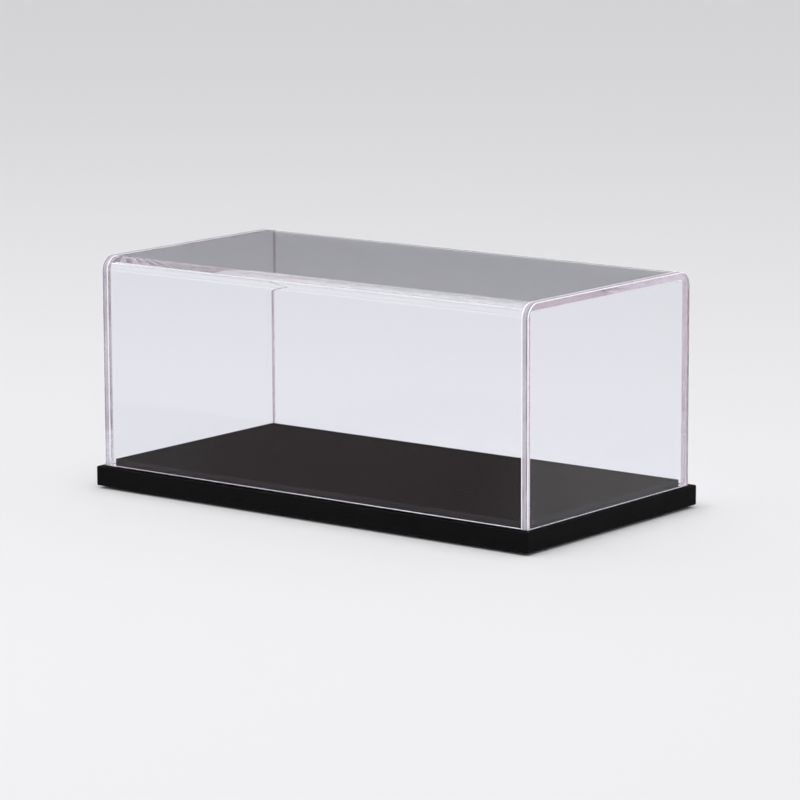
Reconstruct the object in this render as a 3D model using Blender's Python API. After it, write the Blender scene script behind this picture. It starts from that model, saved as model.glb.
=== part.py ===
"""Display case for a small scale model: a clear bent-sheet cover on a black stepped base.

Metres, +Z up. X runs along the long side, the front faces -Y, and the origin lies on the
surface that the case stands on, under the middle of its base. The cover is one sheet bent
over the front, top and back, closed by a flat panel bonded on each end. It drops over the
raised deck of the base and lifts straight off.
"""

import math

import bmesh
import bpy
from mathutils import Vector

# Cover, outside sizes
COVER_LENGTH = 0.2140
COVER_DEPTH = 0.1080
COVER_HEIGHT = 0.0860
SHEET_THICKNESS = 0.0032
BEND_OUTER_RADIUS = 0.0060
BEND_INNER_RADIUS = 0.0015
COVER_ARRIS = 0.0003

# Base board, which sticks out past the cover all round
LEDGE_AT_ENDS = 0.0020
LEDGE_AT_SIDES = 0.0032
BOARD_THICKNESS = 0.0080
BOARD_EDGE_ROUND = 0.0005

# Raised deck, which locates the cover from inside
DECK_THICKNESS = 0.0025
DECK_CLEARANCE = 0.0005
DECK_EDGE_ROUND = 0.0003

# Self-adhesive feet
FOOT_DIAMETER = 0.0100
FOOT_THICKNESS = 0.0008
FOOT_INSET = 0.0120
FOOT_RIM_ROUND = 0.00015

# Film of glue or air between pieces that touch
TOUCH_GAP = 0.0003

# Fineness of round shapes
BEND_STEPS = 14
FOOT_SEGMENTS = 40
ROUND_STEPS = 2
SMOOTH_ANGLE = math.radians(35)

# Heights and lengths that follow from the sizes above
BOARD_BOTTOM = FOOT_THICKNESS + TOUCH_GAP
BOARD_TOP = BOARD_BOTTOM + BOARD_THICKNESS
DECK_BOTTOM = BOARD_TOP + TOUCH_GAP
COVER_BOTTOM = BOARD_TOP + TOUCH_GAP
BOARD_LENGTH = COVER_LENGTH + 2 * LEDGE_AT_ENDS
BOARD_DEPTH = COVER_DEPTH + 2 * LEDGE_AT_SIDES
DECK_LENGTH = COVER_LENGTH - 2 * (SHEET_THICKNESS + DECK_CLEARANCE)
DECK_DEPTH = COVER_DEPTH - 2 * (SHEET_THICKNESS + DECK_CLEARANCE)
WRAP_LENGTH = COVER_LENGTH - 2 * (SHEET_THICKNESS + TOUCH_GAP)


def clear_scene():
    """Remove whatever the file opened with."""
    for obj in list(bpy.data.objects):
        bpy.data.objects.remove(obj, do_unlink=True)


def principled(name, colour, roughness, metallic=0.0, transmission=0.0, ior=1.49):
    """A plain Principled material."""
    material = bpy.data.materials.new(name)
    material.use_nodes = True
    shader = material.node_tree.nodes["Principled BSDF"]
    shader.inputs["Base Color"].default_value = (*colour, 1.0)
    shader.inputs["Roughness"].default_value = roughness
    shader.inputs["Metallic"].default_value = metallic
    shader.inputs["Transmission Weight"].default_value = transmission
    shader.inputs["IOR"].default_value = ior
    return material


def add_object(name, bm, material, location, parent):
    """Turn a bmesh into a placed, parented object; the bmesh is centred on its own origin."""
    bmesh.ops.recalc_face_normals(bm, faces=bm.faces)
    mesh = bpy.data.meshes.new(name)
    bm.to_mesh(mesh)
    bm.free()
    mesh.materials.append(material)
    obj = bpy.data.objects.new(name, mesh)
    bpy.context.scene.collection.objects.link(obj)
    obj.parent = parent
    obj.location = Vector(location)
    return obj


def add_empty(name, location, parent=None):
    """An empty that carries a group of pieces."""
    empty = bpy.data.objects.new(name, None)
    bpy.context.scene.collection.objects.link(empty)
    empty.empty_display_size = 0.02
    empty.parent = parent
    empty.location = Vector(location)
    return empty


def round_edges(obj, width, segments=ROUND_STEPS):
    """Break every sharp edge with a small round."""
    bevel = obj.modifiers.new("round_edges", "BEVEL")
    bevel.width = width
    bevel.segments = segments
    bevel.limit_method = "ANGLE"
    bevel.angle_limit = SMOOTH_ANGLE


def shade_round(obj):
    """Shade smooth, but keep the real corners sharp."""
    obj.data.shade_smooth()
    obj.data.set_sharp_from_angle(angle=SMOOTH_ANGLE)


def arc(centre_y, centre_z, radius, start, end):
    """Points of an arc in the YZ plane, both ends included; angles in degrees from +Y."""
    points = []
    for step in range(BEND_STEPS + 1):
        angle = math.radians(start + (end - start) * step / BEND_STEPS)
        points.append((centre_y + radius * math.cos(angle), centre_z + radius * math.sin(angle)))
    return points


def arch_outline(inset, radius):
    """Front foot, over the two bends, to the back foot; inset is how far inside the skin it runs."""
    side = COVER_DEPTH / 2 - inset
    centre_y = side - radius
    centre_z = COVER_HEIGHT - inset - radius
    front_bend = arc(-centre_y, centre_z, radius, 180, 90)
    back_bend = arc(centre_y, centre_z, radius, 90, 0)
    return [(-side, 0.0)] + front_bend + back_bend + [(side, 0.0)]


def extruded_profile(outline, length):
    """A prism along X with the given YZ outline, centred on X = 0."""
    bm = bmesh.new()
    profile = [bm.verts.new((-length / 2, y, z)) for y, z in outline]
    face = bm.faces.new(profile)
    result = bmesh.ops.extrude_face_region(bm, geom=[face])
    moved = [item for item in result["geom"] if isinstance(item, bmesh.types.BMVert)]
    bmesh.ops.translate(bm, verts=moved, vec=(length, 0.0, 0.0))
    return bm


def block(length, depth, height):
    """A rectangular board, centred on its own origin."""
    bm = bmesh.new()
    bmesh.ops.create_cube(bm, size=1.0)
    bmesh.ops.scale(bm, verts=bm.verts, vec=(length, depth, height))
    return bm


def make_cover(parent, acrylic):
    """The bent sheet and its two end panels."""
    outside = arch_outline(0.0, BEND_OUTER_RADIUS)
    inside = arch_outline(SHEET_THICKNESS, BEND_INNER_RADIUS)
    wrap = extruded_profile(outside + inside[::-1], WRAP_LENGTH)
    pieces = [add_object("cover_wrap", wrap, acrylic, (0.0, 0.0, 0.0), parent)]
    panel_centre = (COVER_LENGTH - SHEET_THICKNESS) / 2
    for name, side in (("cover_end_left", -1), ("cover_end_right", 1)):
        panel = extruded_profile(outside, SHEET_THICKNESS)
        pieces.append(add_object(name, panel, acrylic, (side * panel_centre, 0.0, 0.0), parent))
    for piece in pieces:
        round_edges(piece, COVER_ARRIS)
        shade_round(piece)


def make_boards(parent, board_black, deck_black):
    """The base board and the raised deck bonded on it."""
    board = add_object(
        "base_board",
        block(BOARD_LENGTH, BOARD_DEPTH, BOARD_THICKNESS),
        board_black,
        (0.0, 0.0, BOARD_BOTTOM + BOARD_THICKNESS / 2),
        parent,
    )
    round_edges(board, BOARD_EDGE_ROUND)
    shade_round(board)
    deck = add_object(
        "deck_board",
        block(DECK_LENGTH, DECK_DEPTH, DECK_THICKNESS),
        deck_black,
        (0.0, 0.0, DECK_BOTTOM + DECK_THICKNESS / 2),
        parent,
    )
    round_edges(deck, DECK_EDGE_ROUND)
    shade_round(deck)


def make_feet(parent, rubber):
    """Four thin round feet under the corners of the base board."""
    foot_x = BOARD_LENGTH / 2 - FOOT_INSET
    foot_y = BOARD_DEPTH / 2 - FOOT_INSET
    for row, y in (("front", -foot_y), ("back", foot_y)):
        for side, x in (("left", -foot_x), ("right", foot_x)):
            bm = bmesh.new()
            bmesh.ops.create_cone(
                bm,
                cap_ends=True,
                segments=FOOT_SEGMENTS,
                radius1=FOOT_DIAMETER / 2,
                radius2=FOOT_DIAMETER / 2,
                depth=FOOT_THICKNESS,
            )
            foot = add_object(f"foot_{row}_{side}", bm, rubber, (x, y, FOOT_THICKNESS / 2), parent)
            round_edges(foot, FOOT_RIM_ROUND)
            shade_round(foot)


def main():
    clear_scene()
    acrylic = principled("clear_acrylic", (0.96, 0.97, 0.98), 0.03, transmission=1.0)
    board_black = principled("black_board", (0.012, 0.011, 0.012), 0.28)
    deck_black = principled("black_deck", (0.020, 0.016, 0.015), 0.38)
    rubber = principled("black_rubber", (0.030, 0.030, 0.030), 0.75)

    base = add_empty("base", (0.0, 0.0, 0.0))
    cover_slide = add_empty("cover_slide", (0.0, 0.0, COVER_BOTTOM), base)
    make_feet(base, rubber)
    make_boards(base, board_black, deck_black)
    make_cover(cover_slide, acrylic)


main()
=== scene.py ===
"""Looks of the display case: a clear lift-off cover over a black stepped base.

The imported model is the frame, in metres: X runs along the long side, the front faces -Y and
+Z is up. The cover is one sheet bent over the front, top and back, with a flat panel cemented
on each end. Its pieces, the two boards and the feet are worked out here as fine skins inside
the frame's boxes, and dressed in procedural finishes.
"""

import logging
import math
from dataclasses import dataclass, field
from enum import Enum
from typing import Sequence

import bpy
import numpy as np
from mathutils import Matrix, Vector
from numpy.typing import NDArray


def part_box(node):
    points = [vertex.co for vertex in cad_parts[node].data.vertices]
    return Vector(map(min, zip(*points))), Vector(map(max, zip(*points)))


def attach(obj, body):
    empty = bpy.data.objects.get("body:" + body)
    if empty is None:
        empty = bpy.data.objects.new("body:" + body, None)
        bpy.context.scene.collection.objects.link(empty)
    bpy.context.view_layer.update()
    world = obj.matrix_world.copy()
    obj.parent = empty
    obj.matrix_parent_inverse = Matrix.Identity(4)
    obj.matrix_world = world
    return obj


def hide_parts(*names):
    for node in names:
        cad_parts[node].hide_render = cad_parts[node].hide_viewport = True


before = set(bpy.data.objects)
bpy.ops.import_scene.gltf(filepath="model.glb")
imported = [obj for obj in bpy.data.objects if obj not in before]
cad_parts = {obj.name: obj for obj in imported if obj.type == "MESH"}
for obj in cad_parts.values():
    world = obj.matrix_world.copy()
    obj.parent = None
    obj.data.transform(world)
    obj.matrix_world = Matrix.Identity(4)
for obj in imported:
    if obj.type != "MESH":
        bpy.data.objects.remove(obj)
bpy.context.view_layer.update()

LOG = logging.getLogger("display_case")

Floats = NDArray[np.float64]
Whole = NDArray[np.int64]
Span = tuple[float, float]
Triple = tuple[float, float, float]
Value = "Wire | float | Sequence[float]"

MM = 0.001
HOLD = 0.03 * MM  # how far a holding place lies beyond an arc
CONTACT = 0.02 * MM  # what is left between pieces that touch
ROUND_STEPS = 4  # chords in the small round of an edge
ARC_EXTRA = 3  # an arc has one place more than it has steps, and two holding places
ACRYLIC_INDEX = 1.49
SHARP_ANGLE = math.radians(35)


class Body(Enum):
    """The two bodies of the frame."""

    BASE = "base"
    COVER = "cover"


class Slot(Enum):
    """The record's material slots."""

    CLEAR = "clear_acrylic"
    BOARD = "board_black"
    DECK = "deck_black"
    FOOT = "foot_rubber"


class Axis(Enum):
    """The axis that an outline is carried along."""

    X = "x"
    Z = "z"


class Dress(Enum):
    """Which finish a face of the clear cover wears, as the finish's place in the list of them."""

    FACE = 0
    CUT_EDGE = 1
    RIM = 2
    SEAM = 3
    BEND = 4


# ----------------------------------------------------------------------
# Outlines and skins
# ----------------------------------------------------------------------


@dataclass(frozen=True)
class Outline:
    """Places along a curve in a plane, and the outward direction at each."""

    place: Floats
    outward: Floats

    def __len__(self) -> int:
        """How many places the curve has."""
        return len(self.place)

    def backwards(self) -> "Outline":
        """The same curve, run the other way."""
        return Outline(self.place[::-1], self.outward[::-1])

    def pick(self, *numbers: int) -> "Outline":
        """Some of its places, in the order asked for."""
        return Outline(self.place[list(numbers)], self.outward[list(numbers)])


def join(*parts: Outline) -> Outline:
    """One curve from several that follow each other."""
    return Outline(
        np.concatenate([part.place for part in parts]),
        np.concatenate([part.outward for part in parts]),
    )


def arc(
    centre: Span,
    radius: float,
    start: float,
    end: float,
    steps: int,
    hollow: bool = False,
) -> Outline:
    """An arc with a holding place just before it and just after it.

    A place is the centre plus the radius times (cos a, sin a), with a running evenly from start
    to end. The holding places lie HOLD further on, along the tangents, so that smooth shading
    turns only on the arc and the flats beside it stay flat.

    Args:
        centre: Middle of the arc.
        radius: Its radius.
        start: Its first angle, in degrees.
        end: Its last angle, in degrees.
        steps: How many chords it is cut into.
        hollow: True if the material lies outside the arc, as inside a bend.

    Returns:
        The arc as a curve of steps + ARC_EXTRA places.
    """
    angle = np.radians(np.linspace(start, end, steps + 1))
    radial = np.stack([np.cos(angle), np.sin(angle)], axis=1)
    along = np.stack([-radial[:, 1], radial[:, 0]], axis=1) * math.copysign(1.0, end - start)
    place = np.asarray(centre) + radius * radial
    before, after = place[:1] - HOLD * along[:1], place[-1:] + HOLD * along[-1:]
    outward = np.concatenate([radial[:1], radial, radial[-1:]])
    return Outline(np.concatenate([before, place, after]), -outward if hollow else outward)


def rounded_rectangle(width: float, depth: float, corner: float, steps: int) -> Outline:
    """A rectangle about the origin whose four corners are quarter arcs.

    Args:
        width: Size along the first axis.
        depth: Size along the second axis.
        corner: Radius of the corners.
        steps: Chords in each corner.

    Returns:
        The closed curve, run anticlockwise.
    """
    x, y = width / 2 - corner, depth / 2 - corner
    return join(
        arc((x, -y), corner, -90, 0, steps),
        arc((x, y), corner, 0, 90, steps),
        arc((-x, y), corner, 90, 180, steps),
        arc((-x, -y), corner, 180, 270, steps),
    )


def circle(radius: float, steps: int) -> Outline:
    """A circle about the origin: the radius times (cos a, sin a), with a over a full turn."""
    angle = np.arange(steps) * (2 * math.pi / steps)
    radial = np.stack([np.cos(angle), np.sin(angle)], axis=1)
    return Outline(radius * radial, radial)


def quarter_round(radius: float, steps: int) -> Floats:
    """Inset and rise of a rounded edge, from the flat end round to the side.

    The inset is radius times (1 - sin t) and the rise radius times (1 - cos t), with t from 0 to
    a right angle, between two holding rings. A radius of 0 gives the one ring of a sharp edge.

    Args:
        radius: Radius of the edge.
        steps: Chords in its quarter turn.

    Returns:
        One row of inset and rise for each ring.
    """
    if radius == 0:
        return np.zeros((1, 2))
    turn = np.radians(np.linspace(0, 90, steps + 1))
    curve = radius * np.stack([1 - np.sin(turn), 1 - np.cos(turn)], axis=1)
    return np.concatenate([[[radius + HOLD, 0.0]], curve, [[0.0, radius + HOLD]]])


def rounded_rings(low: float, high: float, low_round: float, high_round: float) -> Floats:
    """Inset and level of every ring of a straight prism whose two end edges are rounded.

    Args:
        low: Level of the first end.
        high: Level of the last end.
        low_round: Radius round the first end.
        high_round: Radius round the last end.

    Returns:
        One row of inset and level for each ring.
    """
    first = quarter_round(low_round, ROUND_STEPS) + (0, low)
    last = quarter_round(high_round, ROUND_STEPS)[::-1] * (1, -1) + (0, high)
    return np.concatenate([first, last])


@dataclass
class Skin:
    """A closed skin while it is worked out: its points, and its faces in groups of one size."""

    points: Floats
    faces: list[Whole] = field(default_factory=list)
    dress: list[Whole] = field(default_factory=list)

    def add(self, faces: Whole, dress: Whole | int = 0) -> None:
        """Add a group of faces, all with as many corners, and the finish that each one wears."""
        self.faces.append(faces)
        self.dress.append(np.broadcast_to(np.asarray(dress), (len(faces),)))

    def volume(self) -> float:
        """Its volume: a sixth of the sum of a . (b x c) over every face's fan of triangles."""
        total = 0.0
        for faces in self.faces:
            corner = self.points[faces]
            crossed = np.cross(corner[:, 1:-1], corner[:, 2:])
            total += float(np.einsum("fj,ftj->", corner[:, 0], crossed)) / 6
        return total

    def piece(self, name: str, materials: Sequence[bpy.types.Material]) -> bpy.types.Object:
        """Make the mesh object, with every face turned outwards and only real corners sharp.

        Args:
            name: Name of the object and its mesh.
            materials: Its finishes, in the order that the faces' numbers name them.

        Returns:
            The object, at the origin, with its place in its mesh.
        """
        turn = 1 if self.volume() > 0 else -1
        corners = [row for faces in self.faces for row in faces[:, ::turn].tolist()]
        mesh = bpy.data.meshes.new(name)
        mesh.from_pydata(self.points.tolist(), [], corners)
        for material in materials:
            mesh.materials.append(material)
        mesh.polygons.foreach_set("material_index", np.concatenate(self.dress).astype(np.int32))
        mesh.shade_smooth()
        mesh.set_sharp_from_angle(angle=SHARP_ANGLE)
        mesh.update()
        made = bpy.data.objects.new(name, mesh)
        bpy.context.scene.collection.objects.link(made)
        return made


def carry(
    outline: Outline, rings: Floats, axis: Axis, centre: Sequence[float]
) -> tuple[Skin, Whole]:
    """Carry a closed outline along an axis, drawn in by each ring's inset at that ring's level.

    A point is the outline's place, less the ring's inset times the outward direction, at the
    ring's level along the axis.

    Args:
        outline: The closed curve, in XY for the Z axis or in YZ for the X axis.
        rings: Inset and level of each ring.
        axis: What it is carried along.
        centre: Where the curve's own origin goes.

    Returns:
        The skin without its two ends, and the numbers of its points, ring by ring. The faces'
        finish is 0.
    """
    flat = outline.place - outline.outward * rings[:, 0, None, None]
    level = np.broadcast_to(rings[:, 1, None], flat.shape[:2])
    columns = [flat[..., 0], flat[..., 1]]
    columns.insert(0 if axis is Axis.X else 2, level)
    points = np.stack(columns, axis=-1) + np.asarray(centre)
    number = np.arange(points[..., 0].size).reshape(points.shape[:2])
    after = np.roll(number, -1, axis=1)
    skin = Skin(points.reshape(-1, 3))
    skin.add(np.stack([number[:-1], after[:-1], after[1:], number[1:]], axis=-1).reshape(-1, 4))
    return skin, number


def plug_ends(skin: Skin, number: Whole) -> Skin:
    """Close a carried outline with one flat face over its first ring and one over its last."""
    skin.add(number[:1, ::-1])
    skin.add(number[-1:])
    return skin


def box_of(node: str) -> tuple[Floats, Floats]:
    """Lowest and highest corner of a node of the frame, as arrays."""
    low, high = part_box(node)
    return np.array(low), np.array(high)


def settle(piece: bpy.types.Object, body: Body, node: str) -> None:
    """Put a finished piece on its body and in its node's stead.

    Args:
        piece: The finished piece.
        body: What it moves with.
        node: The node of the frame that it stands for.
    """
    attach(piece, body.value)
    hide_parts(node)
    LOG.info("%s: %d faces, rides on %s", piece.name, len(piece.data.polygons), body.value)


# ----------------------------------------------------------------------
# Shader building
# ----------------------------------------------------------------------


class Wire:
    """One output of a node. Arithmetic on it adds Math nodes to the same material."""

    def __init__(self, graph: "Graph", socket: bpy.types.NodeSocket | None) -> None:
        """Wrap an output socket of one tree's nodes; an output node has none."""
        self.graph = graph
        self.socket = socket

    def out(self, name: str) -> "Wire":
        """Another output of the same node."""
        return Wire(self.graph, self.socket.node.outputs[name])

    def maths(self, operation: str, *values: Value) -> "Wire":
        """A Math node on the given values."""
        return self.graph.add("ShaderNodeMath", {"operation": operation}, dict(enumerate(values)))

    def __add__(self, other: Value) -> "Wire":
        """self + other."""
        return self.maths("ADD", self, other)

    def __radd__(self, other: Value) -> "Wire":
        """other + self."""
        return self.maths("ADD", other, self)

    def __sub__(self, other: Value) -> "Wire":
        """self - other."""
        return self.maths("SUBTRACT", self, other)

    def __rsub__(self, other: Value) -> "Wire":
        """other - self."""
        return self.maths("SUBTRACT", other, self)

    def __mul__(self, other: Value) -> "Wire":
        """self times other."""
        return self.maths("MULTIPLY", self, other)

    def __rmul__(self, other: Value) -> "Wire":
        """other times self."""
        return self.maths("MULTIPLY", other, self)

    def __abs__(self) -> "Wire":
        """The size of self, without its sign."""
        return self.maths("ABSOLUTE", self)

    def larger(self, other: Value) -> "Wire":
        """The larger of self and other."""
        return self.maths("MAXIMUM", self, other)

    def ease(self, low: float, high: float, start: float = 0.0, end: float = 1.0) -> "Wire":
        """A smooth step from start to end, as self goes from low to high."""
        values = {"Value": self, "From Min": low, "From Max": high, "To Min": start, "To Max": end}
        return self.graph.add("ShaderNodeMapRange", {"interpolation_type": "SMOOTHSTEP"}, values)


class Graph:
    """A tree of nodes: a material's, or the room's."""

    def __init__(self, tree: bpy.types.NodeTree) -> None:
        """Start with an empty tree."""
        self.tree = tree
        self.tree.nodes.clear()

    def add(
        self,
        kind: str,
        settings: dict[str, object] | None = None,
        sockets: dict[str | int, object] | None = None,
    ) -> Wire:
        """Add a node.

        Args:
            kind: The node's type.
            settings: Its settings, which are set first.
            sockets: A value or a wire for each input, by name or number.

        Returns:
            Its first output that is in use.
        """
        node = self.tree.nodes.new(kind)
        for key, value in (settings or {}).items():
            setattr(node, key, value)
        for key, value in (sockets or {}).items():
            if isinstance(value, Wire):
                self.tree.links.new(value.socket, node.inputs[key])
            else:
                node.inputs[key].default_value = value
        return Wire(self, next((socket for socket in node.outputs if socket.enabled), None))

    def mix(self, share: Value, first: Value, second: Value) -> Wire:
        """The colour between first and second, which are the node's inputs 6 and 7."""
        sockets = {"Factor": share, 6: first, 7: second}
        return self.add("ShaderNodeMix", {"data_type": "RGBA"}, sockets)

    def split(self, vector: Wire) -> Wire:
        """A vector's three numbers, as the outputs X, Y and Z."""
        return self.add("ShaderNodeSeparateXYZ", None, {"Vector": vector})


@dataclass(frozen=True)
class Specks:
    """Dust or bubbles: how far apart they are and how far one reaches, in metres.

    A speck is full up to its core's share of that reach, and those fainter than the faintest
    don't show.
    """

    spacing: float
    radius: float
    core: float = 0.5
    faintest: float = 0.2


@dataclass(frozen=True)
class Scratches:
    """Scratches in one direction.

    Length and width are in metres, and the turn of their direction is in degrees. One shows
    where its noise is over the rarity, and is full where the noise is higher by the fade.
    """

    length: float
    width: float
    turn: Triple
    rarity: float
    fade: float = 0.05


def opaque(colour: Sequence[float]) -> tuple[float, ...]:
    """A colour with full alpha, as colour sockets want it."""
    return (*colour, 1.0)


class FinishGraph(Graph):
    """The nodes of one material, which read the place on the piece."""

    def __init__(self, name: str) -> None:
        """Start a material of that name, with nothing but its place on the piece."""
        self.material = bpy.data.materials.new(name)
        self.material.use_nodes = True
        super().__init__(self.material.node_tree)
        self.place = self.add("ShaderNodeTexCoord").out("Object")

    def stretched(self, size: Sequence[float], turn: Sequence[float]) -> Wire:
        """The place on the piece along axes turned by some degrees, divided by the sizes."""
        turned = {
            "Vector": self.place,
            "Rotation": tuple(math.radians(angle) for angle in turn),
            "Scale": tuple(size),
        }
        return self.add("ShaderNodeMapping", {"vector_type": "TEXTURE"}, turned)

    def noise(self, size: float, detail: float = 2.0, at: Wire | None = None) -> Wire:
        """Cloudy noise from 0 to 1, whose largest features are about size across, in metres."""
        values = {"Vector": at or self.place, "Scale": 1 / size, "Detail": detail}
        return self.add("ShaderNodeTexNoise", None, values)

    def specks(self, specks: Specks) -> Wire:
        """Round specks of mixed strength on a loose lattice.

        Args:
            specks: How far apart and how large they are.

        Returns:
            A mask, 0 between the specks and up to 1 on them.
        """
        lattice = {"Vector": self.place, "Scale": 1 / specks.spacing}
        cells = self.add("ShaderNodeTexVoronoi", {"feature": "F1"}, lattice)
        colour = self.add("ShaderNodeSeparateColor", None, {"Color": cells.out("Color")})
        reach = specks.radius / specks.spacing
        round_speck = cells.out("Distance").ease(reach * specks.core, reach, 1.0, 0.0)
        return round_speck * colour.out("Red").ease(specks.faintest, 1.0)

    def hairlines(self, scratches: Scratches) -> Wire:
        """Fine straight scratches: the thin sheets where a stretched noise is high.

        Args:
            scratches: Their length, width, direction and rarity.

        Returns:
            A mask, 0 between the scratches and 1 on them.
        """
        size = (scratches.length, scratches.width, scratches.length)
        fibres = self.noise(1.0, detail=1.0, at=self.stretched(size, scratches.turn))
        return fibres.ease(scratches.rarity, scratches.rarity + scratches.fade)

    def bump(self, height: Wire, depth: float) -> Wire:
        """A normal for a relief that is depth metres deep where height goes from 0 to 1."""
        sockets = {"Strength": 1.0, "Distance": depth, "Height": height}
        return self.add("ShaderNodeBump", None, sockets)

    def principled(self, **sockets: object) -> Wire:
        """A Principled shader. Socket names are given with _ for a space."""
        titles = (name.replace("_", " ").title().replace("Ior", "IOR") for name in sockets)
        return self.add("ShaderNodeBsdfPrincipled", None, dict(zip(titles, sockets.values())))

    def blend(self, share: Value, first: Wire, second: Wire) -> Wire:
        """A Mix Shader from first to second."""
        return self.add("ShaderNodeMixShader", None, {0: share, 1: first, 2: second})

    def transparent(self, colour: Sequence[float]) -> Wire:
        """A Transparent shader."""
        return self.add("ShaderNodeBsdfTransparent", None, {"Color": opaque(colour)})

    def lit_through(self, surface: Wire, share: Sequence[float]) -> Wire:
        """The surface, except that lamps shine straight through it with a share of their light."""
        lamps = self.add("ShaderNodeLightPath").out("Is Shadow Ray")
        return self.blend(lamps, surface, self.transparent(share))

    def finished(self, surface: Wire) -> bpy.types.Material:
        """Give the material its surface, and hand it over."""
        self.add("ShaderNodeOutputMaterial", None, {"Surface": surface})
        return self.material


# ----------------------------------------------------------------------
# Finishes
# ----------------------------------------------------------------------


@dataclass(frozen=True)
class ClearAcrylic:
    """Polished cast acrylic: faintly wavy, with a little dust and a few hairline scratches."""

    name: str = "polished_acrylic"
    tint: Triple = (0.960, 0.964, 0.985)
    # Specular tint, turned far down on the flat faces so that they reflect little: painted shade
    # over what shows through them. The bends wear a copy at full mirror.
    mirror: Triple = (0.08, 0.08, 0.085)
    lamp_share: Triple = (0.955, 0.955, 0.965)
    wave_size: float = 45 * MM
    wave_depth: float = 0.004 * MM
    dust: Triple = (0.72, 0.71, 0.69)
    dust_share: float = 0.45
    dust_rough: float = 0.9
    dust_gloss: float = 0.2
    grit: Specks = Specks(6 * MM, 0.16 * MM)
    patch_size: float = 30 * MM
    patch_step: Span = (0.50, 0.62)
    rubs: Scratches = Scratches(26 * MM, 0.10 * MM, (12, 24, 31), 0.72)
    wipes: Scratches = Scratches(34 * MM, 0.08 * MM, (-9, 17, -52), 0.73)
    scratch_share: float = 0.05
    smear_size: Triple = (300 * MM, 24 * MM, 300 * MM)
    smear_turn: Triple = (24, 31, 38)
    smear_step: Span = (0.46, 0.80)
    smear_share: float = 0.006

    def make(self) -> bpy.types.Material:
        """Build the material. Lamps shine straight through it, as through a thin clear sheet."""
        g = FinishGraph(self.name)
        glass = g.principled(
            base_color=opaque(self.tint),
            roughness=0.0,
            ior=ACRYLIC_INDEX,
            specular_tint=opaque(self.mirror),
            transmission_weight=1.0,
            normal=g.bump(g.noise(self.wave_size, detail=1.0), self.wave_depth),
        )
        dust = g.principled(
            base_color=opaque(self.dust),
            roughness=self.dust_rough,
            specular_ior_level=self.dust_gloss,
        )
        patches = g.noise(self.patch_size).ease(*self.patch_step)
        scratched = g.hairlines(self.rubs).larger(g.hairlines(self.wipes)) * patches
        smears = g.noise(1.0, detail=1.0, at=g.stretched(self.smear_size, self.smear_turn))
        smears = smears.ease(*self.smear_step) * self.smear_share
        soiled = g.specks(self.grit) * self.dust_share
        soiled = soiled.larger(scratched * self.scratch_share).larger(smears)
        return g.finished(g.lit_through(g.blend(soiled, glass, dust), self.lamp_share))


@dataclass(frozen=True)
class CutEdge:
    """The sheet's cut edge: fine saw marks, and painted glints, where noise lifts its colour from
    the duller shade to the bright colour as though light caught it.
    """

    name: str = "cut_edge"
    colour: Triple = (0.96, 0.96, 1.00)
    shade: Triple = (0.78, 0.77, 0.84)
    lamp_share: Triple = (0.35, 0.35, 0.37)
    clearness: float = 0.15
    mark_size: float = 0.875 * MM
    mark_depth: float = 0.02 * MM
    mark_step: Span = (0.3, 0.7)
    mark_rough: Span = (0.22, 0.5)
    painted_glint_size: float = 2.5 * MM
    painted_glint_step: Span = (0.42, 0.60)

    def make(self) -> bpy.types.Material:
        """Build the material."""
        g = FinishGraph(self.name)
        marks = g.noise(self.mark_size)
        # Painted glints: patches of brighter colour that stand in for light catching the edge.
        painted_glints = g.noise(self.painted_glint_size, detail=3.0).ease(*self.painted_glint_step)
        surface = g.principled(
            base_color=g.mix(painted_glints, opaque(self.shade), opaque(self.colour)),
            roughness=marks.ease(*self.mark_step, *self.mark_rough),
            ior=ACRYLIC_INDEX,
            transmission_weight=self.clearness,
            normal=g.bump(marks, self.mark_depth),
        )
        return g.finished(g.lit_through(surface, self.lamp_share))


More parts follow.
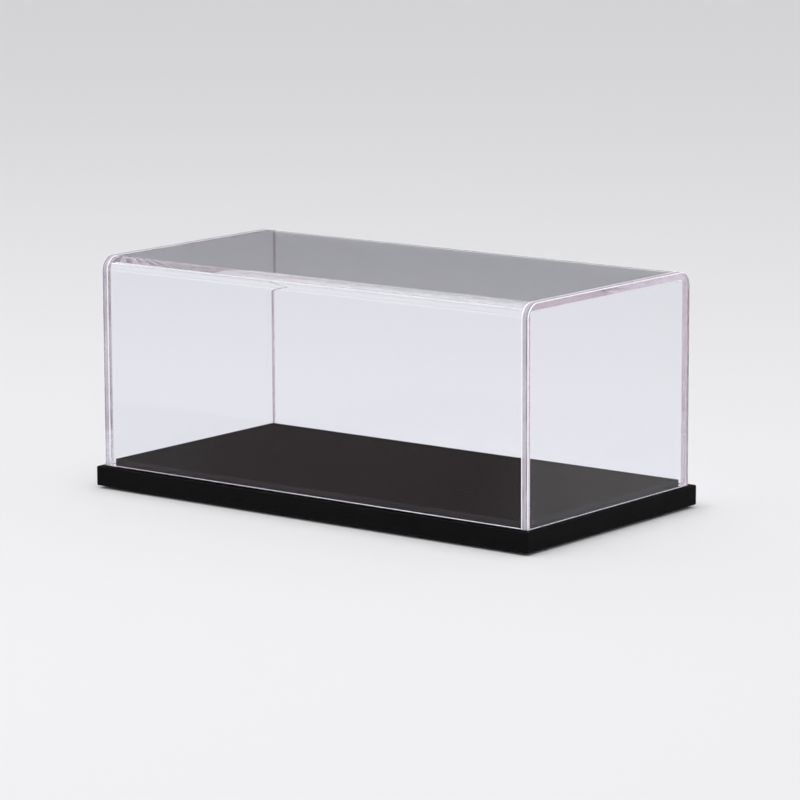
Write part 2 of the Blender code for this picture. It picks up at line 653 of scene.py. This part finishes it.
@dataclass(frozen=True)
class ScrapedRimPaintedLight:
    """The rim of an end panel, scraped and buffed: cloudy, with straight stripes of painted light
    along it: painted highlights at both edges, a stripe of painted shade and a warm painted
    reflection.

    The stripes are set out across the rim, from the cemented joint (0) to the outer face (1). A
    stripe's row is the place where it starts, where it is full, where it fades and where it ends.
    """

    joint_at: float
    face_at: float
    name: str = "scraped_rim_painted_light"
    tint: Triple = (0.93, 0.93, 0.97)
    glass_rough: float = 0.02
    cloud: Triple = (0.44, 0.42, 0.50)
    # Colour of the painted highlights along both edges of the rim.
    bright: Triple = (0.98, 0.97, 1.00)
    # Colour of the stripe of painted shade.
    dark: Triple = (0.07, 0.066, 0.085)
    # Warm colour: a random tone in the cloud, and the painted reflection of a warm room in its
    # stripe.
    warm_tone_and_painted_reflection: Triple = (0.46, 0.38, 0.41)
    joint_highlight_line: tuple[float, ...] = (-0.10, 0.02, 0.12, 0.20)
    painted_reflection_line: tuple[float, ...] = (0.42, 0.50, 0.60, 0.68)
    painted_shade_line: tuple[float, ...] = (0.66, 0.72, 0.80, 0.86)
    face_highlight_line: tuple[float, ...] = (0.86, 0.91, 1.00, 1.10)
    painted_reflection_strength: float = 0.7
    painted_shade_strength: float = 0.9
    lamp_share: Triple = (0.80, 0.80, 0.83)
    drift_size: float = 18 * MM
    drift_step: Span = (0.35, 0.65)
    drift_warmth: float = 0.35
    buffed_rough: Span = (0.22, 0.42)
    cloud_step: Span = (0.40, 0.62)
    cloud_share: Span = (0.45, 0.80)

    @staticmethod
    def stripe(across: Wire, row: Sequence[float]) -> Wire:
        """One stripe along the rim.

        Args:
            across: The place across the rim, from 0 to 1.
            row: Where the stripe starts, is full, fades and ends.

        Returns:
            A mask, 0 outside the stripe and 1 where it is full.
        """
        start, full, fading, end = row
        return across.ease(start, full) * across.ease(fading, end, 1.0, 0.0)

    def make(self) -> bpy.types.Material:
        """Build the material."""
        g = FinishGraph(self.name)
        depth = abs(g.split(g.place).out("X")) - self.joint_at
        across = depth * (1 / (self.face_at - self.joint_at))
        drift = g.noise(self.drift_size)
        glass = g.principled(
            base_color=opaque(self.tint),
            roughness=self.glass_rough,
            ior=ACRYLIC_INDEX,
            transmission_weight=1.0,
        )
        warmth = drift.ease(*self.drift_step, 0.0, self.drift_warmth)
        colour = g.mix(warmth, opaque(self.cloud), opaque(self.warm_tone_and_painted_reflection))
        # A stripe of painted reflection: the warm room seen in the rim.
        painted_reflection_share = self.stripe(across, self.painted_reflection_line) * self.painted_reflection_strength
        colour = g.mix(painted_reflection_share, colour, opaque(self.warm_tone_and_painted_reflection))
        # A stripe of painted shade.
        painted_shade_share = self.stripe(across, self.painted_shade_line) * self.painted_shade_strength
        colour = g.mix(painted_shade_share, colour, opaque(self.dark))
        # Painted highlights along the joint edge and the face edge.
        edges = self.stripe(across, self.joint_highlight_line).larger(self.stripe(across, self.face_highlight_line))
        buffed = g.principled(
            base_color=g.mix(edges, colour, opaque(self.bright)),
            roughness=drift.ease(*self.drift_step, *self.buffed_rough),
            ior=ACRYLIC_INDEX,
        )
        share = edges.larger(drift.ease(*self.cloud_step, *self.cloud_share))
        return g.finished(g.lit_through(g.blend(share, glass, buffed), self.lamp_share))


@dataclass(frozen=True)
class CementedSeam:
    """The film of cement between two panels: clear, with a faint haze, small trapped bubbles and a
    pink cast painted in as the reflection of a warm room.
    """

    name: str = "cemented_seam"
    # Pink cast of the film: a painted reflection of a warm room.
    film: Triple = (0.905, 0.870, 0.890)
    bubble: Triple = (0.66, 0.60, 0.64)
    bubble_rough: float = 0.35
    bubble_share: float = 0.75
    bubbles: Specks = Specks(0.9 * MM, 0.28 * MM)
    haze_size: float = 30 * MM
    haze_step: Span = (0.40, 0.66)
    haze_share: Span = (0.08, 0.20)
    run_size: float = 14 * MM
    run_step: Span = (0.50, 0.58)

    def make(self) -> bpy.types.Material:
        """Build the material. The bubbles lie only where the cement ran."""
        g = FinishGraph(self.name)
        haze = g.noise(self.haze_size, detail=1.0).ease(*self.haze_step, *self.haze_share)
        runs = g.noise(self.run_size).ease(*self.run_step)
        bubbles = g.specks(self.bubbles) * runs * self.bubble_share
        cloudy = g.principled(
            base_color=opaque(self.bubble), roughness=self.bubble_rough, ior=ACRYLIC_INDEX
        )
        return g.finished(g.blend(haze.larger(bubbles), g.transparent(self.film), cloudy))


@dataclass(frozen=True)
class SatinBlack:
    """Black sheet with a satin face: soft cloudy gloss, dust, hairlines and paler cut sides.

    Each board gives its own colours, gloss, grain and coat, and the half sizes from which its edges
    are rubbed and painted paler. The rest is the same for both.
    """

    name: str
    colour: Triple
    side: Triple
    dust: Triple
    gloss: Span
    side_rough: float
    grain: float
    grain_depth: float
    coat_weight: float
    coat_rough: float
    rubbed_from: Span
    rubbed_width: float = 1.2 * MM
    rubbed_cloud: Span = (0.25, 1.0)
    # How much paler the rubbed edges are: wear, and a painted highlight line along them.
    wear_and_painted_highlight_share: float = 0.35
    rubbed_rough: float = 0.06
    upright_step: Span = (0.15, 0.85)
    cloud_size: float = 26 * MM
    cloud_step: Span = (0.3, 0.7)
    worn_step: Span = (0.35, 0.65)
    grain_share: float = 0.15
    rubs: Scratches = Scratches(18 * MM, 0.12 * MM, (52, 14, 33), 0.74)
    wipes: Scratches = Scratches(30 * MM, 0.10 * MM, (-61, 20, -18), 0.75)
    scratch_share: float = 0.10
    scratch_rough: float = 0.12
    grit: Specks = Specks(3.2 * MM, 0.14 * MM)
    grit_share: float = 0.5
    grit_rough: float = 0.3

    def rubbed(self, g: FinishGraph, upright: Wire, cloud: Wire) -> Wire:
        """Where hands and cloths rub, and where a highlight line is painted: cloudy bands along the
        edges of the level faces.

        Args:
            g: The material's nodes.
            upright: 1 on upright faces, 0 on level ones.
            cloud: The cloud that breaks the bands up.

        Returns:
            A mask, 0 where nothing rubs.
        """
        place = g.split(g.place)
        reach = [
            abs(place.out(axis)).ease(start, start + self.rubbed_width)
            for axis, start in zip("XY", self.rubbed_from)
        ]
        worn = cloud.ease(*self.worn_step, *self.rubbed_cloud)
        return reach[0].larger(reach[1]) * (1 - upright) * worn

    def make(self) -> bpy.types.Material:
        """Build the material. The edges are a little paler where they are rubbed, as wear and as a
        painted highlight line.
        """
        g = FinishGraph(self.name)
        facing = g.split(g.add("ShaderNodeNewGeometry").out("Normal"))
        upright = abs(facing.out("Z")).ease(*self.upright_step, 1.0, 0.0)
        cloud = g.noise(self.cloud_size, detail=4.0)
        grains = g.noise(self.grain, detail=3.0)
        rubbed = self.rubbed(g, upright, cloud)
        lines = g.hairlines(self.rubs).larger(g.hairlines(self.wipes))
        dusty = g.specks(self.grit)
        face = g.mix(upright, opaque(self.colour), opaque(self.side))
        # Paler in random grain, and along the rubbed edges both as wear and as a painted highlight
        # line.
        paler = grains.ease(*self.cloud_step, 0.0, self.grain_share) + rubbed * self.wear_and_painted_highlight_share
        face = g.mix(paler, face, opaque(self.side))
        soiled = (dusty * self.grit_share).larger(lines * self.scratch_share)
        rough = cloud.ease(*self.cloud_step, *self.gloss) + upright * self.side_rough
        rough = rough + dusty * self.grit_rough + lines * self.scratch_rough
        surface = g.principled(
            base_color=g.mix(soiled, face, opaque(self.dust)),
            roughness=rough + rubbed * self.rubbed_rough,
            ior=ACRYLIC_INDEX,
            specular_ior_level=0.0,
            coat_weight=self.coat_weight,
            coat_roughness=self.coat_rough,
            coat_ior=ACRYLIC_INDEX,
            normal=g.bump(grains, self.grain_depth),
        )
        return g.finished(surface)


@dataclass(frozen=True)
class FootRubber:
    """Moulded rubber: dark, dull, slightly mottled, with dust in its fine texture."""

    name: str = "dull_rubber"
    colour: Triple = (0.022, 0.022, 0.022)
    bloom: Triple = (0.060, 0.060, 0.062)
    gloss: float = 0.35
    mottle_size: float = 1.6 * MM
    mottle_step: Span = (0.35, 0.75)
    rough_step: Span = (0.3, 0.7)
    rough: Span = (0.62, 0.84)
    grain: float = 0.22 * MM
    grain_depth: float = 0.03 * MM

    def make(self) -> bpy.types.Material:
        """Build the material."""
        g = FinishGraph(self.name)
        mottle = g.noise(self.mottle_size, detail=4.0)
        bloomed = mottle.ease(*self.mottle_step)
        surface = g.principled(
            base_color=g.mix(bloomed, opaque(self.colour), opaque(self.bloom)),
            roughness=mottle.ease(*self.rough_step, *self.rough),
            specular_ior_level=self.gloss,
            normal=g.bump(g.noise(self.grain), self.grain_depth),
        )
        return g.finished(surface)


@dataclass(frozen=True)
class PaleFloor:
    """The plain pale floor that the case stands on."""

    name: str = "pale_floor"
    colour: Triple = (0.70, 0.70, 0.705)
    rough: float = 0.85
    gloss: float = 0.2

    def make(self) -> bpy.types.Material:
        """Build the material."""
        g = FinishGraph(self.name)
        surface = g.principled(
            base_color=opaque(self.colour), roughness=self.rough, specular_ior_level=self.gloss
        )
        return g.finished(surface)


# ----------------------------------------------------------------------
# The cover
# ----------------------------------------------------------------------


@dataclass
class Cover:
    """The clear cover: a bent sheet and the two flat panels cemented on its ends.

    The outside of each bend wears a copy of the acrylic at full mirror, with no scratches. The flat
    faces wear a copy whose mirror is turned far down, as painted shade: the two are lit and shaded
    copies of one material.
    """

    bend_outside: float = 6.0 * MM
    bend_inside: float = 1.5 * MM
    foot_round: float = 0.30 * MM
    panel_round: float = 0.25 * MM
    bend_steps: int = 40
    foot_steps: int = 4
    face: bpy.types.Material = field(default_factory=lambda: ClearAcrylic().make())
    cut_edge: bpy.types.Material = field(default_factory=lambda: CutEdge().make())
    seam: bpy.types.Material = field(default_factory=lambda: CementedSeam().make())
    # The bends' copy of the acrylic keeps its full mirror; the flats' copy is dimmed as painted
    # shade.
    bend: bpy.types.Material = field(
        default_factory=lambda: ClearAcrylic(
            name="bend_acrylic_full_mirror",
            mirror=(1.0, 1.0, 1.0),
            wave_depth=0.0005 * MM,
            scratch_share=0.0,
            smear_share=0.0,
        ).make()
    )
    rim: bpy.types.Material = field(init=False)
    sheet: float = field(init=False)
    half_length: float = field(init=False)
    side: float = field(init=False)
    bottom: float = field(init=False)
    height: float = field(init=False)

    def __post_init__(self) -> None:
        """Read the sizes that the frame sets."""
        low, high = box_of("cover_end_right")
        self.sheet = high[0] - low[0]
        self.half_length = high[0]
        self.side = high[1]
        self.bottom = box_of("base_board")[1][2] + CONTACT
        self.height = high[2] - self.bottom
        self.rim = ScrapedRimPaintedLight(joint_at=low[0], face_at=high[0]).make()

    def over(self, inside: bool) -> Outline:
        """The way from the front foot, over both bends, to the back foot, in YZ.

        It is four arcs joined by straight runs: a small round at each foot and a quarter turn at
        each bend. Inside and outside have as many places, so that they pair up across the sheet.

        Args:
            inside: True for the face towards the model, False for the face towards the room.

        Returns:
            The open curve.
        """
        bend = self.bend_inside if inside else self.bend_outside
        side = self.side - self.sheet if inside else self.side
        top = self.height - self.sheet if inside else self.height
        toe = side + self.foot_round if inside else side - self.foot_round
        front_end, back_start, back_end = (360, 180, 270) if inside else (180, 0, -90)
        return join(
            arc((-toe, self.foot_round), self.foot_round, 270, front_end, self.foot_steps),
            arc((bend - side, top - bend), bend, 180, 90, self.bend_steps, hollow=inside),
            arc((side - bend, top - bend), bend, 90, 0, self.bend_steps, hollow=inside),
            arc((toe, self.foot_round), self.foot_round, back_start, back_end, self.foot_steps),
        )

    def sheet_skin(self) -> Skin:
        """The bent sheet: its section carried straight along X, with flat ends across the sheet."""
        outer, inner = self.over(inside=False), self.over(inside=True)
        reach = self.half_length - self.sheet - CONTACT / 2
        rings = rounded_rings(-reach, reach, 0.0, 0.0)
        skin, number = carry(join(outer, inner.backwards()), rings, Axis.X, (0, 0, self.bottom))
        count = len(outer)
        around = self.edge_numbers(2 * count, Dress.FACE, (count - 1, 2 * count - 1))
        front_bend = self.foot_steps + ARC_EXTRA
        back_bend = front_bend + self.bend_steps + ARC_EXTRA
        for first in (front_bend, back_bend):
            around[first : first + self.bend_steps + ARC_EXTRA - 1] = Dress.BEND.value
        skin.dress[0] = around
        for ring, turn in ((number[0], -1), (number[-1], 1)):
            for faces in self.across(ring[:count], ring[: count - 1 : -1]):
                skin.add(faces[:, ::turn], Dress.SEAM.value)
        return skin

    @staticmethod
    def across(outside: Whole, inside: Whole) -> tuple[Whole, Whole]:
        """Faces that close the cut end of the sheet, from its outside to its inside.

        Each face joins two places outside to the two that pair with them inside. The first and
        last faces reach one place further, round the feet, where the two holding places and the
        foot's edge lie on one line.

        Args:
            outside: Numbers of the points along the outside.
            inside: Numbers of the points that pair with them.

        Returns:
            The two faces of six corners at the feet, and the faces of four corners between them.
        """
        at_feet = [
            np.concatenate([outside[:3], inside[2::-1]]),
            np.concatenate([outside[-3:], inside[:-4:-1]]),
        ]
        near, far = outside[2:-2], inside[2:-2]
        return np.stack(at_feet), np.stack([near[:-1], near[1:], far[1:], far[:-1]], axis=1)

    @staticmethod
    def edge_numbers(places: int, side: Dress, cut: Sequence[int]) -> Whole:
        """Finish of each face round a section: cut edge at the given places, else the side's."""
        dress = np.full(places, side.value)
        dress[list(cut)] = Dress.CUT_EDGE.value
        return dress

    def panel_skin(self, way: int) -> Skin:
        """An end panel: the cover's outer outline carried through one sheet's thickness.

        Its inner face is split along the inside of the bent sheet, so that the cemented part has
        its own finish. Its outer face has a rounded edge.

        Args:
            way: -1 for the left end, 1 for the right end.

        Returns:
            The closed skin.
        """
        outer, inner = self.over(inside=False), self.over(inside=True)
        joint = self.half_length - self.sheet + CONTACT / 2
        rings = rounded_rings(joint, self.half_length, 0.0, self.panel_round) * (1, way)
        outline = join(outer, inner.pick(-1, 0))
        skin, number = carry(outline, rings, Axis.X, (0, 0, self.bottom))
        count = len(outer)
        around = self.edge_numbers(len(outline), Dress.RIM, (count - 1, count, count + 1))
        skin.dress[0] = np.tile(around, len(rings) - 1)
        within = inner.place[1:-1]
        depth = np.full((len(within), 1), rings[0, 1])
        fresh = len(skin.points) + np.arange(len(within))
        more = np.hstack([depth, within]) + (0, 0, self.bottom)
        skin.points = np.concatenate([skin.points, more])
        inside = np.concatenate([number[0, count + 1 :], fresh, number[0, count : count + 1]])
        outside = number[0, :count]
        for faces in self.across(outside, inside):
            skin.add(faces[:, ::-1], Dress.SEAM.value)
        skin.add(inside[None, ::-1], Dress.FACE.value)
        skin.add(number[-1:], Dress.FACE.value)
        return skin

    def build(self) -> None:
        """Make the three pieces of the cover and put them on their body."""
        dress = (self.face, self.cut_edge, self.rim, self.seam, self.bend)
        parts = {
            "cover_wrap": self.sheet_skin(),
            "cover_end_left": self.panel_skin(-1),
            "cover_end_right": self.panel_skin(1),
        }
        for node, skin in parts.items():
            settle(skin.piece(f"clear_{node}", dress), Body.COVER, node)


# ----------------------------------------------------------------------
# The base
# ----------------------------------------------------------------------


@dataclass
class Base:
    """The base board, the deck on it and the four feet under it."""

    board_corner: float = 0.70 * MM
    board_round: float = 0.45 * MM
    deck_corner: float = 0.50 * MM
    deck_round: float = 0.25 * MM
    corner_steps: int = 6
    board_rubbed: float = 1.6 * MM
    deck_rubbed: float = 1.2 * MM
    foot_rim: float = 0.28 * MM
    foot_rim_steps: int = 5
    foot_steps: int = 48
    sole_rings: int = 18
    sole_reach: Span = (0.12, 0.80)
    groove_depth: float = 0.12 * MM
    groove_from: float = 0.45
    groove_width: float = 0.30

    def slab(
        self, node: str, drop: float, corner: float, edge: float, finish: SatinBlack
    ) -> None:
        """One board: a rounded rectangle carried up through its thickness.

        Args:
            node: The node of the frame that it stands for.
            drop: How far its underside goes down to meet what it is bonded on.
            corner: Radius of its four upright corners.
            edge: Radius of the edges round its faces.
            finish: What it wears.
        """
        low, high = box_of(node)
        outline = rounded_rectangle(high[0] - low[0], high[1] - low[1], corner, self.corner_steps)
        rings = rounded_rings(low[2] - drop, high[2], edge, edge)
        middle = (low + high) / 2 * (1, 1, 0)
        skin = plug_ends(*carry(outline, rings, Axis.Z, middle))
        settle(skin.piece(f"satin_{node}", [finish.make()]), Body.BASE, node)

    def foot_rings(self, low: float, high: float, radius: float) -> Floats:
        """Inset and level of a turned foot: a grooved sole, a round rim and a straight side.

        The sole's level rises by the groove's depth times a raised cosine between two radii, and
        its rim is a quarter round.

        Args:
            low: Level of the sole.
            high: Level of the glued face.
            radius: Radius of the foot.

        Returns:
            One row of inset and level for each ring, from the middle of the sole outwards.
        """
        share = np.linspace(*self.sole_reach, self.sole_rings)
        along = np.clip((share - self.groove_from) / self.groove_width, 0, 1)
        groove = self.groove_depth * (0.5 - 0.5 * np.cos(2 * math.pi * along))
        sole = np.stack([radius * (1 - share), low + groove], axis=1)
        rim = quarter_round(self.foot_rim, self.foot_rim_steps) + (0, low)
        return np.concatenate([sole, rim, [[0.0, high]]])

    def foot(self, node: str, rubber: bpy.types.Material) -> None:
        """One foot, turned about its own upright axis."""
        low, high = box_of(node)
        radius = (high[0] - low[0]) / 2
        top = box_of("base_board")[0][2] - CONTACT
        rings = self.foot_rings(low[2], top, radius)
        middle = (low + high) / 2 * (1, 1, 0)
        skin = plug_ends(*carry(circle(radius, self.foot_steps), rings, Axis.Z, middle))
        settle(skin.piece(f"rubber_{node}", [rubber]), Body.BASE, node)

    def build(self) -> None:
        """Make the boards and the feet and put them on their body."""
        board_high = box_of("base_board")[1]
        deck_low, deck_high = box_of("deck_board")
        board = SatinBlack(
            name="satin_board",
            colour=(0.0030, 0.0027, 0.0030),
            side=(0.0032, 0.0028, 0.0030),
            dust=(0.22, 0.21, 0.20),
            gloss=(0.24, 0.36),
            side_rough=0.08,
            grain=0.8 * MM,
            grain_depth=0.004 * MM,
            coat_weight=0.12,
            coat_rough=0.20,
            rubbed_from=tuple(board_high[:2] - self.board_rubbed),
        )
        deck = SatinBlack(
            name="satin_deck",
            colour=(0.0054, 0.0027, 0.0020),
            side=(0.0300, 0.0255, 0.0265),
            dust=(0.20, 0.18, 0.165),
            gloss=(0.34, 0.46),
            side_rough=0.16,
            grain=0.5 * MM,
            grain_depth=0.010 * MM,
            coat_weight=0.03,
            coat_rough=0.32,
            rubbed_from=tuple(deck_high[:2] - self.deck_rubbed),
        )
        bond = deck_low[2] - board_high[2] - CONTACT
        self.slab("base_board", 0.0, self.board_corner, self.board_round, board)
        self.slab("deck_board", bond, self.deck_corner, self.deck_round, deck)
        rubber = FootRubber().make()
        for row in ("front", "back"):
            for end in ("left", "right"):
                self.foot(f"foot_{row}_{end}", rubber)


# ----------------------------------------------------------------------
# The studio
# ----------------------------------------------------------------------


@dataclass(frozen=True)
class Softbox:
    """One soft rectangular lamp that faces the middle of the case."""

    name: str
    place: Triple
    size: Span
    power: float
    aim: Triple = (0.0, 0.0, 0.05)

    def hang(self) -> None:
        """Put the lamp in the scene."""
        light = bpy.data.lights.new(self.name, "AREA")
        light.shape = "RECTANGLE"
        light.size, light.size_y = self.size
        light.energy = self.power
        lamp = bpy.data.objects.new(self.name, light)
        bpy.context.scene.collection.objects.link(lamp)
        lamp.location = self.place
        sight = Vector(self.aim) - Vector(self.place)
        lamp.rotation_euler = sight.to_track_quat("-Z", "Y").to_euler()


@dataclass
class Studio:
    """A pale floor, soft lamps, a room that glows, and the camera.

    The room is bright overhead, dim low down, and has a bright skirting just over the horizon.
    Its heights are angles in degrees, and so are the camera's.
    """

    floor_half: float = 6.0
    low_room: Triple = (0.10, 0.10, 0.11)
    high_room: Triple = (0.95, 0.95, 0.97)
    high_step: Span = (14.0, 22.0)
    skirting: Triple = (2.10, 2.10, 2.12)
    skirting_rise: Span = (0.3, 1.2)
    skirting_fall: Span = (6.6, 7.8)
    azimuth: float = 37.97
    elevation: float = 10.21
    roll: float = -0.234
    reach: float = 1.6015
    rise: float = 0.0393
    slide: float = 0.0030
    lens: float = 178.5
    film_width: float = 36.0
    bounces: int = 64
    clear_bounces: int = 48
    nearest: float = 0.01
    lamps: tuple[Softbox, ...] = (
        Softbox("overhead", (0.10, -0.20, 1.40), (1.3, 0.14), 4.0),
        Softbox("front_strip", (-0.20, -0.95, 1.10), (1.2, 0.10), 3.0),
        Softbox("left_bank", (-1.30, -0.60, 0.70), (0.4, 0.9), 2.0),
        Softbox("right_bank", (1.40, 0.50, 0.80), (0.4, 0.9), 2.0),
    )

    def lay_floor(self) -> None:
        """A flat square sheet, as a grid of four points, under the feet."""
        ends = np.array([-self.floor_half, self.floor_half])
        x, y = np.meshgrid(ends, ends)
        points = np.stack([x, y, np.zeros_like(x)], axis=-1).reshape(-1, 3)
        mesh = bpy.data.meshes.new("floor")
        mesh.from_pydata(points.tolist(), [], [(0, 1, 3, 2)])
        mesh.materials.append(PaleFloor().make())
        floor = bpy.data.objects.new("floor", mesh)
        bpy.context.scene.collection.objects.link(floor)

    def light(self) -> None:
        """Hang the lamps, and let the glow of the room follow the sine of the height looked at."""
        for lamp in self.lamps:
            lamp.hang()
        room = bpy.data.worlds.new("room")
        room.use_nodes = True
        g = Graph(room.node_tree)
        rise = g.split(g.add("ShaderNodeTexCoord").out("Generated")).out("Z")
        high, start, end = (
            tuple(math.sin(math.radians(angle)) for angle in step)
            for step in (self.high_step, self.skirting_rise, self.skirting_fall)
        )
        glow = g.mix(rise.ease(*high), opaque(self.low_room), opaque(self.high_room))
        band = rise.ease(*start) * rise.ease(*end, 1.0, 0.0)
        glow = g.mix(band, glow, opaque(self.skirting))
        sky = g.add("ShaderNodeBackground", None, {"Color": glow})
        g.add("ShaderNodeOutputWorld", None, {"Surface": sky})
        bpy.context.scene.world = room

    def aim_camera(self) -> None:
        """Stand the camera off along its sight line, moved a little sideways and up across it.

        The sight line points back from the case at the azimuth and elevation, right is level and
        square to it, up is square to both, and the roll turns right and up about the sight line.
        """
        turn, lift, roll = map(math.radians, (self.azimuth, self.elevation, self.roll))
        flat = math.cos(lift)
        back = Vector((math.sin(turn) * flat, -math.cos(turn) * flat, math.sin(lift)))
        level = (-back).cross(Vector((0, 0, 1))).normalized()
        upright = level.cross(-back)
        right = math.cos(roll) * level + math.sin(roll) * upright
        up = math.cos(roll) * upright - math.sin(roll) * level
        camera = bpy.data.cameras.new("camera")
        camera.lens = self.lens
        camera.sensor_width = self.film_width
        camera.clip_start = self.nearest
        holder = bpy.data.objects.new("camera", camera)
        bpy.context.scene.collection.objects.link(holder)
        place = back * self.reach + right * self.slide + up * self.rise
        facing = Matrix((right, up, back)).transposed().to_4x4()
        holder.matrix_world = Matrix.Translation(place) @ facing
        bpy.context.scene.camera = holder

    def set_up(self) -> None:
        """Build the whole studio, and let light bounce often enough for thick clear edges."""
        self.aim_camera()
        self.lay_floor()
        self.light()
        scene = bpy.context.scene
        scene.view_settings.view_transform = "Standard"
        scene.cycles.max_bounces = self.bounces
        scene.cycles.transmission_bounces = self.clear_bounces
        scene.cycles.glossy_bounces = self.clear_bounces
        scene.cycles.transparent_max_bounces = self.clear_bounces


def main() -> None:
    """Build the studio, the base and the cover, in that order."""
    logging.basicConfig(level=logging.INFO, format="%(name)s: %(message)s")
    Studio().set_up()
    Base().build()
    Cover().build()


if __name__ == "__main__":
    main()
